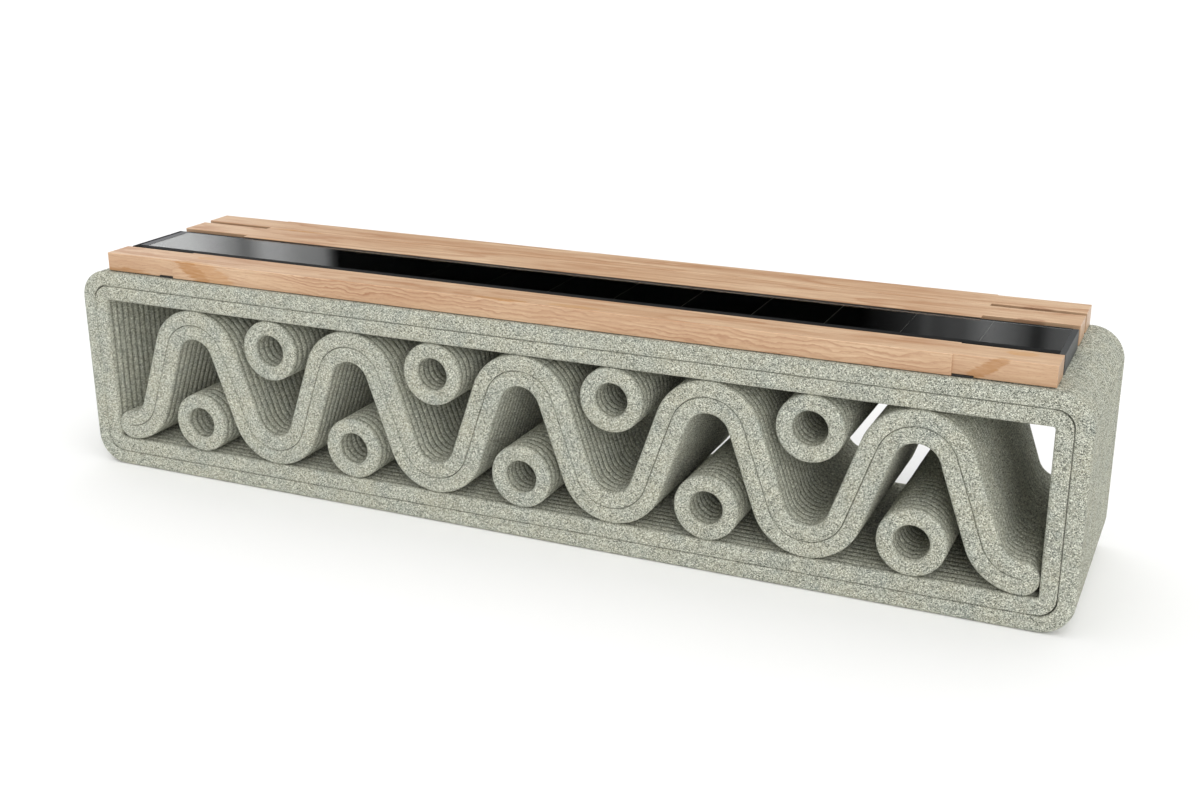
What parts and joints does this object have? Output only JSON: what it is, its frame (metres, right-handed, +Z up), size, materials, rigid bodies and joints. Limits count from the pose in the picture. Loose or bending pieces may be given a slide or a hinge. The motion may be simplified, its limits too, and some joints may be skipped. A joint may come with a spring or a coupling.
{
  "type": "solar charging bench",
  "caption": "Long street bench: a rounded frame of doubled printed concrete beads with a wave infill, timber slats and a dark solar housing set into the seat.",
  "frame": {"origin": "on the ground, under the middle of the bench", "axes": "+X along the bench, to the right as seen from the front; -Y towards the front; +Z up"},
  "size_m": [2, 0.411, 0.4535],
  "materials": {
    "printed_concrete": "rough speckled grey-green concrete in printed layers",
    "timber": "sawn and planed light brown timber, oiled, satin",
    "black_steel": "black powder coat, satin",
    "zinc_steel": "bright zinc plate",
    "anchor_resin": "set grey resin",
    "black_aluminium": "black anodised look, satin",
    "black_plastic": "moulded, matte",
    "grey_plastic": "moulded, satin dark grey",
    "cover_glass": "clear polished glass",
    "solar_cell": "nearly black monocrystalline cell",
    "back_sheet": "matte grey sheet",
    "rubber": "matte black",
    "circuit_board": "green solder mask",
    "battery_wrap": "blue shrink wrap"
  },
  "bodies": {
    "root": {"printed_body": "printed_concrete", "slat_front": "timber", "slat_middle": "timber", "slat_rear": "timber", "mount_plate_left": "black_steel", "anchor_resin_left_1": "anchor_resin", "anchor_resin_left_2": "anchor_resin", "screw_slat_front_left_1": "zinc_steel", "screw_slat_front_left_2": "zinc_steel", "screw_slat_middle_left_1": "zinc_steel", "screw_slat_middle_left_2": "zinc_steel", "screw_slat_rear_left_1": "zinc_steel", "screw_slat_rear_left_2": "zinc_steel", "housing_bolt_left": "zinc_steel", "housing_nut_left": "zinc_steel", "mount_plate_right": "black_steel", "anchor_resin_right_1": "anchor_resin", "anchor_resin_right_2": "anchor_resin", "screw_slat_front_right_1": "zinc_steel", "screw_slat_front_right_2": "zinc_steel", "screw_slat_middle_right_1": "zinc_steel", "screw_slat_middle_right_2": "zinc_steel", "screw_slat_rear_right_1": "zinc_steel", "screw_slat_rear_right_2": "zinc_steel", "housing_bolt_right": "zinc_steel", "housing_nut_right": "zinc_steel", "housing_tray": "black_aluminium", "end_cap_left": "black_plastic", "end_cap_right": "grey_plastic", "cover_glass": "cover_glass", "solar_cell_01": "solar_cell", "solar_cell_02": "solar_cell", "solar_cell_03": "solar_cell", "solar_cell_04": "solar_cell", "solar_cell_05": "solar_cell", "solar_cell_06": "solar_cell", "solar_cell_07": "solar_cell", "solar_cell_08": "solar_cell", "solar_cell_09": "solar_cell", "solar_cell_10": "solar_cell", "solar_cell_11": "solar_cell", "solar_cell_12": "solar_cell", "solar_cell_13": "solar_cell", "solar_cell_14": "solar_cell", "back_sheet": "back_sheet", "glazing_tape": "rubber", "housing_pad": "rubber", "charging_socket_1": "zinc_steel", "socket_cover_1": "rubber", "charging_socket_2": "zinc_steel", "socket_cover_2": "rubber", "socket_board": "circuit_board", "charge_controller": "black_aluminium", "battery_pack_left": "battery_wrap", "battery_pack_right": "battery_wrap", "junction_box": "black_plastic", "cable_cells": "black_plastic", "cable_battery_left": "black_plastic", "cable_battery_right": "black_plastic", "cable_sockets": "black_plastic"}
  },
  "joints": []
}
